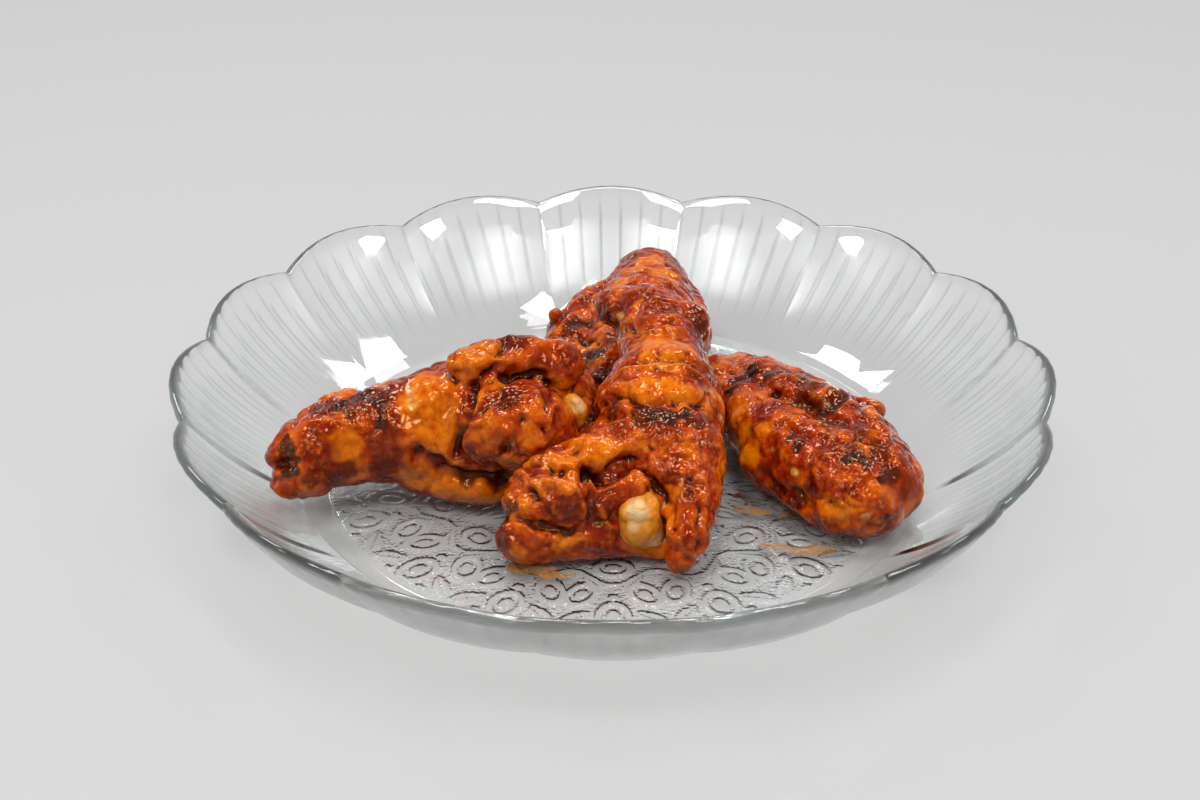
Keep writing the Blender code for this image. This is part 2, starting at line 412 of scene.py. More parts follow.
def shapeScallop(points):
    # draws the turned section out into a scallop and its flutes; all in millimetres
    radius, angle, flute, outside, under = whereOnPlate(points)
    foot, rim = plate["footRadius"], plate["rimRadius"]
    upTheWall = np.clip((radius - foot) / (rim - foot), 0, 1)
    lobe = np.abs(np.cos(angle * plate["scallops"] / 2)) ** plate["round"]
    fluteWidth = math.tau * radius / (plate["scallops"] * plate["flutes"])
    fromGroove = np.abs(flute - np.round(flute)) * fluteWidth
    groove = softLine(fromGroove, plate["fluteWidth"]) * smoothStep(*plate["fluteRise"], upTheWall) * outside
    bead = smoothStep(*plate["beadRise"], upTheWall) * np.cos(math.tau * (flute - 0.5))
    bead *= smoothStep(0, 0.2, lobe)        # none in the notches between scallops
    outward = plate["reach"] * lobe * np.clip(1.6 * upTheWall, 0, 1)
    outward += plate["beadReach"] * bead - plate["fluteDepth"] * groove
    grown = 1 + np.where(upTheWall > 0, outward, 0) / np.maximum(radius, 1)
    points[:, :2] *= grown[:, None]
    points[:, 2] += plate["rise"] * lobe * upTheWall ** 2 + 0.6 * plate["fluteDepth"] * groove
    points[:, 2] += np.where(under, flowers["height"] * flowerRelief(points), 0)


def setPlateFields(made):
    # where the glass is stippled, frosted, and given painted shade along its grooves and round its flowers
    points = getPoints(made) / mm
    radius, _, flute, outside, under = whereOnPlate(points)
    relief = flowerRelief(points)
    ground = smoothStep(*flowers["plainFrom"], radius)
    plain = smoothStep(0.5, 0.1, relief) * ground
    onWall = smoothStep(*pressedGlass["lineRise"], radius) * smoothStep(*pressedGlass["lineFade"], radius)
    inGroove = softLine(np.abs(flute - np.round(flute)), pressedGlass["lineWidth"]) * outside * onWall
    edge = under * softLine(relief - 0.45, 0.2) * ground
    fluted = outside * smoothStep(*pressedGlass["frostRise"], radius)
    setField(made, "stipple", under * plain)
    setField(made, "frost", np.maximum(fluted, pressedGlass["floorFrost"] * under * plain))
    setField(made, "lines", np.maximum(pressedGlass["grooveLines"] * inGroove,
                                       pressedGlass["flowerLines"] * edge))


def makePlate():
    # one scallop's share of the turned section, shaped, copied round and joined
    mesh = bmesh.new()
    section = [mesh.verts.new((point.x, 0, point.y)) for point in plateSection()]
    edges = [mesh.edges.new(pair) for pair in zip(section, section[1:])]
    share = math.tau / plate["scallops"]
    bmesh.ops.rotate(mesh, verts=section, cent=(0, 0, 0), matrix=Matrix.Rotation(-share / 2, 3, "Z"))
    bmesh.ops.spin(mesh, geom=section + edges, axis=(0, 0, 1), cent=(0, 0, 0), angle=share,
                   steps=plate["flutes"] * plate["fluteSteps"])
    made = newObject("glassPlate", mesh, makeGlassMaterial())
    points = getPoints(made)
    shapeScallop(points)
    setPoints(made, points * mm)
    mesh = bmesh.new()
    for _ in range(plate["scallops"]):
        mesh.from_mesh(made.data)
        made.data.transform(Matrix.Rotation(share, 4, "Z"))
    bmesh.ops.remove_doubles(mesh, verts=mesh.verts, dist=0.005 * mm)
    bmesh.ops.recalc_face_normals(mesh, faces=mesh.faces)
    mesh.to_mesh(made.data)
    mesh.free()
    made.data.shade_smooth()
    setPlateFields(made)
    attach(made, "root")
    return made


glassPlate = makePlate()
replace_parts(glassPlate, "plate")
print("plate made,", len(glassPlate.data.polygons), "faces")


def frameOf(wing):
    turn = Matrix.Rotation(math.radians(wing["yaw"]), 4, "Z")
    tilt = Matrix.Rotation(math.radians(wing["pitch"]), 4, "Y")
    return Matrix.Translation(Vector(wing["place"]) * mm) @ turn @ tilt @ Matrix.Scale(mm, 4)


def strandBalls(stations):
    # balls along the strand, closer together where it is thin; a station is a place and a radius
    balls = []
    for start, end in zip(stations, stations[1:]):
        start, end = Vector(start), Vector(end)
        gap = max(0.8, 0.18 * min(start[3], end[3]))
        steps = max(1, round((end - start).xyz.length / gap))
        balls += [start.lerp(end, step / steps) for step in range(steps)]
    return balls + [Vector(stations[-1])]


def roundBall():
    mesh = bmesh.new()
    bmesh.ops.create_icosphere(mesh, subdivisions=4, radius=1)
    data = bpy.data.meshes.new("ball")
    mesh.to_mesh(data)
    mesh.free()
    return data


def fuseStrands(name, strands, place, material, voxel, smoothing):
    mesh = bmesh.new()
    for stations in strands:
        for ball in strandBalls(stations):
            copied = roundBallData.copy()
            size = Matrix.Diagonal((ball[3], ball[3], ball[3], 1))
            copied.transform(place @ Matrix.Translation(Vector(ball[:3])) @ size)
            mesh.from_mesh(copied)
            bpy.data.meshes.remove(copied)
    made = newObject(name, mesh, material)
    addModifier(made, "REMESH", mode="VOXEL", voxel_size=voxel * mm, use_smooth_shade=True)
    addModifier(made, "SMOOTH", factor=0.5, iterations=smoothing)
    settle(made)
    return made


roundBallData = roundBall()


def spotField(local, spots):
    # 1 at the middle of any spot, falling to 0 at its edge
    field = np.zeros(len(local))
    for along, across, up, radius in spots:
        away = np.linalg.norm(local - (along, across, up), axis=1) / radius
        field = np.maximum(field, 1 - smoothStep(0.35, 1.0, away))
    return field


def distanceTo(local, line):
    nearest = np.full(len(local), np.inf)
    for start, end in zip(line, line[1:]):
        start, end = np.array(start, float), np.array(end, float)
        run = end - start
        part = np.clip((local - start) @ run / (run @ run), 0, 1)
        nearest = np.minimum(nearest, np.linalg.norm(local - start - part[:, None] * run, axis=1))
    return nearest


def toFrame(points, place):
    # the points in the wing's own frame, in millimetres
    inverse = np.array(place.inverted())
    return points @ inverse[:3, :3].T + inverse[:3, 3]


def restOnPlate(points):
    # nothing reaches into the plate's floor or its wall
    radius = np.hypot(points[:, 0], points[:, 1]) / mm
    upTheWall = np.clip(radius - plate["footRadius"] + 1, 0, None)
    floor = plate["floorTop"] + skin["aboveFloor"] + upTheWall * skin["wallSlope"]
    points[:, 2] = np.maximum(points[:, 2], floor * mm)


skin = {
    "voxel": 0.44, "smoothing": 4,
    # sizes in millimetres
    "lumpSize": 11, "smallLumpSize": 6, "billowSize": 6.5, "wrinkleSize": 4.2, "grainSize": 1.3,
    "blisterSize": 2.0, "blisterGroups": 5, "blistersTight": 1.7,
    "warpSize": 5, "warp": 1.5,               # bends everything that lies on the skin
    "aboveFloor": 0.2, "wallSlope": 0.75,
    "smoothed": 0.88,                         # share of the relief that sleek skin lacks
    "leastBubbly": 0.25,
    "creaseWidth": 1.3, "creaseDepth": 0.8,   # times the width and depth given for each crease
    "lipHeight": 0.35, "lipAway": 2.0, "lipWidth": 0.9,    # of the swelling beside a crease
    "rounding": 3,                            # how often the finished skin is averaged
    # share of the pooled sauce and painted shade in hollows, and the depth in millimetres over which it sets
    # in
    "smallHollows": (0.8, 0.015, 0.2), "wideHollows": (0.85, 0.12, 0.95),
}


def foldsAt(spots, size, seed):
    # rounded folds with narrow valleys between them
    return np.sqrt(np.abs(noiseAt(spots, size, seed))) - 0.45


def skinRelief(bent, wing):
    # how far the skin stands out, in millimetres
    seed = wing["seed"]
    rough = 1 - skin["smoothed"] * spotField(bent, wing["sleek"])
    bubbly = skin["leastBubbly"] + spotField(bent, wing["bubbly"])
    lumps = noiseAt(bent, skin["lumpSize"], seed) + 0.5 * noiseAt(bent, skin["smallLumpSize"], seed + 3)
    billows = foldsAt(bent, skin["billowSize"], seed + 7)
    wrinkles = foldsAt(bent * wing["wrinkled"], skin["wrinkleSize"], seed + 9)
    away = skin["blistersTight"] * cellsAt(bent, skin["blisterSize"], seed)
    blisters = np.sqrt(np.clip(1 - away ** 2, 0, None))
    blisters *= smoothStep(-0.25, 0.25, noiseAt(bent, skin["blisterGroups"], seed + 11))
    grain = noiseAt(bent, skin["grainSize"], seed + 17)
    lift = wing["lumps"] * lumps
    lift += rough * (wing["billows"] * billows + wing["wrinkles"] * wrinkles + wing["grain"] * grain)
    lift += rough * bubbly * wing["blisters"] * blisters
    for width, depth, line in wing["creases"]:
        away = distanceTo(bent, line) / (skin["creaseWidth"] * width)
        lip = skin["lipHeight"] * softLine(away - skin["lipAway"], skin["lipWidth"])
        lift += skin["creaseDepth"] * depth * (lip - softLine(away, 1))
    return lift


def sunkenBy(made, points, times):
    # how far each point lies below its averaged surroundings, in millimetres
    return np.einsum("ij,ij->i", spread(made, points, times) - points, getNormals(made)) / mm


def setWingFields(made, wing, points, local, bent):
    # where the skin is sunken (pooled sauce and painted shade), raised (thinner glaze, painted highlight and
    # painted glints), burnt, bubbly, smooth, pale, golden or dark
    seed = wing["seed"]
    near, wide = sunkenBy(made, points, 10), sunkenBy(made, points, 60)
    nearShare, *nearRange = skin["smallHollows"]
    wideShare, *wideRange = skin["wideHollows"]
    hollow = nearShare * smoothStep(*nearRange, spread(made, near, 2))
    hollow += wideShare * smoothStep(*wideRange, wide)
    char = spotField(bent, wing["char"]) * (1 + 0.5 * noiseAt(local, 2.5, seed + 23))
    rough = 1 - 0.9 * spotField(bent, wing["sleek"])
    setField(made, "hollow", np.clip(hollow * (0.65 + 0.35 * rough), 0, 1))
    setField(made, "ridge", smoothStep(0.02, 0.24, -near))
    setField(made, "char", np.clip(char, 0, 1))
    setField(made, "bubbly", np.maximum(skin["leastBubbly"], spotField(bent, wing["bubbly"])) * rough)
    for field in ("sleek", "pale"):
        setField(made, field, spotField(bent, wing[field]))
    frayed = 0.35 * noiseAt(local, 4, seed + 43) + 0.2 * noiseAt(local, 1.6, seed + 47)
    for field in ("gold", "dark"):
        setField(made, field, smoothStep(0.2, 0.95, spotField(bent, wing[field]) + frayed))


def makeWing(name, wing, material):
    place = frameOf(wing)
    made = fuseStrands(name, wing["strands"].values(), place, material, skin["voxel"], skin["smoothing"])
    points = getPoints(made)
    local = toFrame(points, place)
    warp = [noiseAt(local, skin["warpSize"], wing["seed"] + salt) for salt in (31, 37, 41)]
    bent = local + skin["warp"] * np.stack(warp, axis=1)
    points += getNormals(made) * (skinRelief(bent, wing) * mm)[:, None]
    points = spread(made, points, skin["rounding"])        # the glaze rounds everything off
    restOnPlate(points)
    setPoints(made, points)
    setWingFields(made, wing, points, local, bent)
    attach(made, "root")
    return made


glaze = {
    # pooled sauce and painted shade in the hollows
    "pooledAndShaded": (0.040, 0.0022, 0.0006),
    "deep": (0.058, 0.0018, 0.0004),
    "red": (0.135, 0.0045, 0.0004),
    "rust": (0.25, 0.0155, 0.0004),
    "orange": (0.39, 0.047, 0.0005),
    "amber": (0.55, 0.105, 0.0007),
    "gold": (0.61, 0.165, 0.0018),
    "cream": (0.56, 0.29, 0.07),
    # painted highlight: the colour of the painted glints
    "paintedGlint": (0.56, 0.22, 0.075),
    "char": (0.013, 0.006, 0.0045),
    "shine": (1.0, 0.52, 0.18),
    # scales of the noises, per metre
    "patches": 110, "fine": 420, "specks": 1300, "glintSpots": 900, "bumps": (300, 680), "bubbles": 430,
    "bumpHeight": 0.0009,                     # metres
    "roughness": (0.08, 0.16),
    "specular": 0.38, "coat": 0.12, "coatRoughness": 0.03, "coatIor": 1.45,
    # share of thinner glaze and painted highlight on the crests, then of the dark patches
    "thinGlazeAndHighlight": 0.55, "darkShare": 0.85,
}


def glazeColour(tree, fine):
    patches = noiseNode(tree, glaze["patches"], 4, 0.6)
    specks = noiseNode(tree, glaze["specks"], 1, 0.6)
    glintSpots = noiseNode(tree, glaze["glintSpots"], 1)
    colour = rampNode(tree, patches, [(0.39, glaze["red"]), (0.48, glaze["rust"]), (0.57, glaze["orange"]),
                                      (0.66, glaze["amber"])])
    golden = rampNode(tree, fine, [(0.32, glaze["orange"]), (0.46, glaze["amber"]), (0.66, glaze["gold"])])
    goldShare = product(tree, fieldNode(tree, "gold"), rampNode(tree, patches, [(0.34, 0.45), (0.48, 1.0)]))
    colour = mixColour(tree, goldShare, colour, golden)
    # thinner glaze and painted highlight: the crests turn amber
    thinGlazeAndHighlight = product(tree, fieldNode(tree, "ridge"), glaze["thinGlazeAndHighlight"])
    colour = mixColour(tree, thinGlazeAndHighlight, colour, glaze["amber"])
    colour = mixColour(tree, rampNode(tree, specks, [(0.58, 0.0), (0.70, 0.12)]), colour, glaze["red"])
    darkShare = product(tree, fieldNode(tree, "dark"), glaze["darkShare"])
    colour = mixColour(tree, darkShare, colour, glaze["deep"])
    # pooled sauce and painted shade: the hollows turn nearly black
    colour = mixColour(tree, fieldNode(tree, "hollow"), colour, glaze["pooledAndShaded"])
    paleShare = product(tree, fieldNode(tree, "pale"), rampNode(tree, fine, [(0.35, 0.2), (0.6, 1.0)]))
    colour = mixColour(tree, paleShare, colour, glaze["cream"])
    # painted glints: pale flecks on the crests and bubbles
    onCrests = mathNode(tree, "ADD", product(tree, fieldNode(tree, "ridge"), 0.5),
                        product(tree, fieldNode(tree, "bubbly"), 0.5), True)
    glintShare = product(tree, rampNode(tree, glintSpots, [(0.61, 0.0), (0.67, 0.6)]), onCrests)
    colour = mixColour(tree, glintShare, colour, glaze["paintedGlint"])
    # the burns have a frayed edge and fade out through brown
    nearBurns = product(tree, fieldNode(tree, "char"), 5.0, True)
    frayed = product(tree, product(tree, mathNode(tree, "SUBTRACT", fine, 0.5), 2.4), nearBurns)
    burnt = mathNode(tree, "ADD", fieldNode(tree, "char"), frayed)
    colour = mixColour(tree, rampNode(tree, burnt, [(0.12, 0.0), (0.5, 0.8)]), colour, glaze["deep"])
    return mixColour(tree, rampNode(tree, burnt, [(0.5, 0.0), (1.0, 0.92)]), colour, glaze["char"])


def glazeNormal(tree):
    # ripples where the skin isn't sleek, and domes where it has bubbled
    rough = mathNode(tree, "SUBTRACT", 1.0, product(tree, fieldNode(tree, "sleek"), 0.75))
    wider, finer = glaze["bumps"]
    ripples = product(tree, noiseNode(tree, wider, 0.6, 0.4), rough)
    smallRipples = product(tree, noiseNode(tree, finer, 0.5, 0.4), rough)
    where = addNode(tree, "ShaderNodeTexCoord")
    cells = addNode(tree, "ShaderNodeTexVoronoi", feature="SMOOTH_F1", Scale=glaze["bubbles"], Smoothness=0.5)
    tree.links.new(where.outputs["Object"], cells.inputs["Vector"])
    domes = mathNode(tree, "POWER", cells.outputs["Distance"], 2.0)
    bubbles = product(tree, domes, fieldNode(tree, "bubbly"))
    return bumpNode(tree, [(ripples, 1.0), (smallRipples, 0.3), (bubbles, -0.4)], glaze["bumpHeight"])


def makeGlazeMaterial():
    material, tree, shader = nodeMaterial("glazedSkin")
    fine = noiseNode(tree, glaze["fine"], 3, 0.6)
    smoothest, roughest = glaze["roughness"]
    normal = glazeNormal(tree)
    plug(tree, shader, {"Base Color": glazeColour(tree, fine),
                        "Roughness": rampNode(tree, fine, [(0.3, smoothest), (0.7, roughest)]),
                        "Normal": normal, "Coat Normal": normal,
                        "Specular IOR Level": glaze["specular"], "Specular Tint": glaze["shine"],
                        "Coat Weight": glaze["coat"], "Coat Roughness": glaze["coatRoughness"],
                        "Coat IOR": glaze["coatIor"]})
    return material


glazedSkin = makeGlazeMaterial()

# A wing's own frame runs along it from one end, in millimetres. The stations of a strand and the spots
# are places with a radius. A crease is its width, its depth and its line. Sleek skin is stretched smooth.
leftWing = {
    "place": (-98, -22, 8.6), "yaw": 10, "pitch": 4, "seed": 1.7,
    "lumps": 0.7, "billows": 1.1, "wrinkles": 0.6, "blisters": 0.55, "grain": 0.045, "wrinkled": (1, 1, 1),
    "strands": {
        "limb": [(16, 2, 12, 11), (24, 4, 13.5, 12.5), (35, 5, 14.5, 14), (46, 5, 16, 16),
                 (55, 4, 18, 18), (66, 3, 19, 18.5), (77, 7, 18, 16.5), (85, 13, 16, 13.5)],
        "lowerKnuckle": [(6, -4.5, 5, 4.9), (13, -2, 8, 8)],
        "upperKnuckle": [(5, 1, 11, 4.4), (12, 3, 13, 8)],
        "heel": [(14, 6, 15, 6.5), (24, 9, 17, 9)],
        "foldOfSkin": [(53, 0, 39.5, 3.2), (59, 2, 37, 7), (66, 2, 39, 6), (74, 4, 39, 6), (82, 5, 35, 7.5)],
        "backOfShoulder": [(52, 14, 14, 13), (68, 17, 16, 14)],
        "roundMuscle": [(63, -9, 24, 11), (71, -12, 26, 12), (77, -8, 22, 10)],
        "belly": [(42, -1, 6.5, 6.5), (51, -5.5, 6.5, 7), (60, -9, 7, 7), (69, -7, 7, 7)],
    },
    "creases": [
        (1.3, 2.4, [(66.5, 1.3, 44.9), (64.2, -2.1, 42.7), (61.3, -3.9, 39.7), (59.4, -4.8, 37.4),
                    (56.9, -6.1, 33.5), (55.4, -11.6, 31.2), (54.4, -14.2, 28), (51.9, -13.2, 19.2)]),
        (1.3, 2.2, [(61.3, -4.4, 39), (69.1, -3.1, 36.8), (76.4, -1.6, 36.1), (79, -1.8, 34.6)]),
        (1, 1.5, [(56.7, -14.4, 31.2), (60.9, -13.1, 34.4), (66.2, -12, 36.8), (70.4, -13.5, 37.5)]),
        (0.9, 1.4, [(69.2, -21.3, 33.1), (66.8, -22.1, 28.4), (64.4, -21.9, 23.6)]),
        (1.2, 1.8, [(78.8, -1.9, 33), (75.4, -17.2, 35.4), (74.1, -22.6, 30.6)]),
        (1.6, 2.2, [(42.6, -10, 17.3), (48.1, -11.6, 13.9), (55.8, -13.6, 10.7), (64.3, -14.6, 10.2),
                    (70.1, -14.3, 13.1)]),
        (0.8, 0.9, [(48.7, -11.5, 12.2), (48.3, -11.3, 8.9), (45.7, -10.5, 5.9)]),
        (1, 1.5, [(3.4, -1.5, 10.2), (5.4, -3.5, 11.4), (7.7, -5.6, 12.2), (9.8, -6.5, 13.5)]),
    ],
    "sleek": [(46, -8.6, 27.6, 11), (41.5, -3.7, 28.8, 9), (47.8, -11.5, 21.9, 8), (44.7, 1.2, 32.3, 8),
              (22.7, -7.2, 18, 8), (48.3, -11.7, 7.5, 8), (40.8, -8.5, 8.1, 6), (58, -14.9, 6.2, 8),
              (70.4, -1.3, 43.4, 6), (77.7, -0.8, 41.1, 6), (71, -22.9, 29.6, 4)],
    "bubbly": [(18.5, 0.3, 24, 9), (25.8, -0.9, 25.4, 9), (32.2, 0.2, 26.8, 9), (12.6, -5.3, 19.4, 6),
               (25.5, -5.7, 20.8, 6), (31, 8, 27, 9), (16, 9, 24, 9)],
    "gold": [(46, -8.6, 27.6, 12), (41.5, -3.7, 28.8, 8), (47.8, -11.5, 21.9, 7), (44.7, 1.2, 32.3, 8),
             (51.3, -0.8, 37.3, 8), (56.5, -2.3, 41.7, 8), (62.2, -0.2, 43.6, 6), (22.7, -7.2, 18, 7),
             (58.2, -9.2, 33.5, 4), (64.3, -6.3, 35.2, 4.5), (73.8, -2.8, 34.7, 4), (74, -17.9, 35.4, 4),
             (71, -22.9, 29.6, 4.5), (66, -21, 20.5, 5), (40.8, -8.5, 8.1, 6.5), (48.3, -11.7, 7.5, 7),
             (56.3, -14.9, 6.2, 7.5), (63.6, -13.8, 3.9, 7), (70.5, -14, 5, 5)],
    "dark": [(25, 2, 27, 8), (32, 3, 28, 8), (18, 4, 25, 7), (18, -7.9, 8.6, 5), (22.1, -8, 11.1, 5),
             (12.4, -9.1, 9.5, 4), (55.8, -13.6, 11.5, 5), (64.3, -14.6, 11, 6), (48, -12, 15, 4.5),
             (66, -14, 35, 6), (69, 2, 45, 5), (79, -6, 31, 5), (33, -8, 12, 6)],
    "pale": [(41.1, 0.5, 30.6, 1.8), (41, -3.5, 28.6, 1.8), (41, -1.5, 29.6, 1.8)],
    "char": [(6.7, -3.1, 15.5, 4.2), (6.8, -6.7, 10.5, 3.6), (31.5, 1.6, 27, 3.6), (32.6, -5.1, 23.8, 3.4),
             (21.4, 3.5, 25.3, 4.2), (27.8, 6.5, 26.6, 4.2), (32, -1.5, 26, 3)],
}
frontWing = {
    "place": (10, 35, 44), "yaw": -88, "pitch": 20, "seed": 5.1,
    "lumps": 0.7, "billows": 1.2, "wrinkles": 0.6, "blisters": 0.55, "grain": 0.045, "wrinkled": (1, 1, 1),
    "strands": {
        "limb": [(14, 1.5, 0, 10), (24.5, 3.5, 0, 11.8), (34.5, 4, 0, 13), (41, 3, -1, 16),
                 (48.5, 1.5, -2.5, 18.3), (57.5, 1.5, -3, 17), (66, 4, -4, 14), (76, 4, -7, 10)],
        "knuckle": [(5.5, -9, -2.5, 5.8), (12, 0.5, 1, 8.8), (16.5, 11, 0.5, 6.8)],
        "barbOfSkin": [(7, -11, -2, 3.5), (3, -14, -2, 1.8)],
        "shoulder": [(66, 6, 1, 13), (77, 9, 1, 8.5), (92, 7, 1, 5.8), (97.5, 4.5, -2, 4.2)],
        "upperFold": [(64, -8, 4, 8), (70, -18.5, 8, 6.2), (74, -31, 6, 5.2)],
        "innerMeat": [(60, -10, -6, 13), (70, -20, -6, 12), (76, -27, -5, 10)],
        "leftRoll": [(82, -35, 2, 7.8), (83, -24, 6.5, 6.6)],
        "lowerRoll": [(90, -38, -2, 6.8), (87.5, -26, -5, 6.6), (85, -14, -5, 7.5), (88, -5, -8.5, 5),
                      (89, 3, -8, 5)],
        "middle": [(80, -15, 2, 6.5), (80, -7, 6.5, 4.2)],
        "root": [(76, -3, -4, 10), (84, 4, -6, 7)],
        "knobsOnRolls": [(78.5, -35.8, 6.6, 4), (82.5, -26, 9.4, 4.2)],
        "knobsBetween": [(86.2, -38.4, 2, 3.8), (85.8, -31.5, 4.6, 3.9), (87.2, -26, 1.6, 3.8),
                         (83.4, -16.6, 2.4, 4)],
        "lowKnob": [(91, -33, -1, 4.2)],
        "innerKnob": [(87.3, -22.8, -0.8, 4.2)],
        "knobsOnShoulder": [(68.2, -5, 6.4, 4), (74.6, 2.6, 6, 4.2)],
        "sideKnob": [(68.5, 8.4, 10.4, 4)],
    },
    "creases": [
        (1.2, 1.6, [(11, -10.9, -4.2), (18.4, -8.3, 1.3), (25.6, -3.1, 9.6), (26, 1.1, 11.5),
                    (24.3, 6.1, 11.3)]),
        (0.7, -0.9, [(56.1, -19.2, 1.8), (48.9, -15.7, 1.4), (45.8, -13.1, 7.6), (42.6, -8, 11.5),
                     (44.4, -0.7, 15.5), (44, 8.3, 13.5), (45.3, 14.5, 9.3), (47, 18.3, 3.4),
                     (52.7, 18.5, 3.3)]),
        (1, 1.1, [(54, -18.5, 3), (46.9, -15, 1.4), (43.3, -12.5, 7.6), (40.2, -8, 11.5),
                    (41.8, -0.7, 15.5), (41.5, 8.3, 13.5), (42.6, 14.5, 9.3)]),
        (1.3, 1.9, [(48.3, -16.4, -3.2), (48.8, -15.1, 4.3), (51.4, -10.9, 10.3), (55.5, -5, 13.2),
                    (57.1, -0.4, 13.8), (56, 6.5, 13.5), (56.1, 12.1, 10.9)]),
        (1.3, 1.8, [(73.8, -12.8, 9.9), (71.4, -8, 8.2), (70.2, -2.9, 9.6), (69.8, -1, 11.5)]),
        (1.5, 2.6, [(75.6, -36.9, 6), (78, -32.3, 9.7), (78.9, -28.3, 11.1), (80.9, -24, 12.7),
                    (77.9, -18.8, 7.4), (78.7, -14.3, 8.4), (76.8, -11.8, 8.4)]),
        (1.1, 1.6, [(69.5, -26.7, 11.5), (72.6, -22.2, 13.1), (76.2, -20.7, 9.8)]),
        (1.1, 1.3, [(85.2, -41.3, 4), (89, -37.3, 4.9), (90.1, -33.3, 3.9), (90.8, -26.1, 1.1),
                    (89.2, -19.4, 1.5), (87.8, -16.4, 1.7)]),
        (1.2, 1.9, [(80.7, -21.1, 11.1), (86.1, -19.1, 9.2), (86.6, -18.5, 3.3)]),
        (1, 1.5, [(77.9, -2, 6.1), (81, 0.6, 4.4), (86.6, 2.4, 4.9), (93.3, 3.2, 4.8)]),
        (1.1, 1.3, [(79, 8.1, 9), (85.3, 8.6, 7.4), (91.3, 9.6, 6.5), (96.3, 10, 1.9)]),
        (1, 1.3, [(74, -31, 12.5), (75.5, -30.5, 9.5), (78, -30.5, 9)]),
        (1.2, 1.6, [(84.2, -35.5, 11), (85.5, -32.5, 8), (88.5, -30, 5)]),
    ],
    "sleek": [(32.2, -3.4, 10.6, 6), (34.7, 2.1, 13.2, 7), (36.4, 7.6, 12.9, 6), (41.3, -2.5, 14.4, 6),
              (42.5, 4.4, 14.8, 6), (51.6, -2.1, 15.3, 5), (51.8, 3.9, 14.6, 5), (72.1, -16, 13.1, 5),
              (72.2, -20, 13.4, 4), (83, 3, 5.5, 6), (88, 5, 5.8, 5)],
    "bubbly": [(9, -10.9, 2.2, 6), (13.5, -2.5, 9, 7.5), (19.7, 2.9, 11.3, 6.5), (19.7, 8.7, 9.1, 6),
               (66.9, -4.9, 10.7, 8), (71.5, 3, 11.8, 9), (69.1, 11.2, 12.9, 8), (76.9, 8.2, 9.8, 7),
               (84, -34, 9, 9), (83, -26, 11, 7)],
    "gold": [(86.5, -36.5, 3.5, 4.5), (88.5, -29, 2, 4), (79.5, -35, 8, 4), (32.2, -3.4, 10.6, 6),
             (34.7, 2.1, 13.2, 7), (36.4, 7.6, 12.9, 6), (41.3, -2.5, 14.4, 6),
             (42.5, 4.4, 14.8, 6), (51.6, -2.1, 15.3, 6.5), (51.8, -8.4, 11.9, 5), (51.8, 3.9, 14.6, 6),
             (52.9, 9.4, 12.8, 5.5), (55.3, 13.6, 9.1, 5), (72.2, -20, 13.4, 5), (72.1, -16, 13.1, 5.5),
             (74.3, -14.7, 10.6, 4.5), (72.6, -34.1, 9, 4), (74.6, -29.5, 11.4, 4), (75, -25.5, 11.8, 4),
             (82.8, -31, 11, 4), (84.3, -24.9, 12.7, 4), (91.4, -24, -0.4, 3.5), (96.1, -38, 0.1, 3),
             (93.4, -27.3, -0.8, 4), (15, -4, 9, 3), (83, 3, 5.5, 5), (90, 3, 4, 4)],
    "dark": [(20, 14, 5.1, 5), (28.2, 14.3, 5.6, 5), (37.1, 15.1, 8.4, 5), (15.6, 13.9, 6.6, 4),
             (87.1, -41.9, 2.6, 5), (92.8, -42.5, 1.2, 5), (85.3, -40.5, 6.8, 4), (60, -3, 13.5, 6),
             (11, -12, 0, 5), (62, 10, 13, 5), (78, -17, 6, 4), (55, -12, 9, 4), (78, -10, 7, 5)],
    "pale": [(14.4, -7.6, 3.3, 2.2), (46, -13.1, 7.6, 1.2), (42.6, -8, 11.5, 1.2), (52.7, 18.5, 3.3, 1.5),
             (46, 15.5, 8, 1.6), (47, 18.3, 3.4, 1.8), (55.5, -13.5, 8.6, 1.2)],
    "char": [(60.3, -0.6, 13.4, 4.4), (61.4, 3.5, 13.2, 4.2), (60.3, 7.1, 13.1, 3.4), (58, -3.2, 13.6, 2.8)],
}
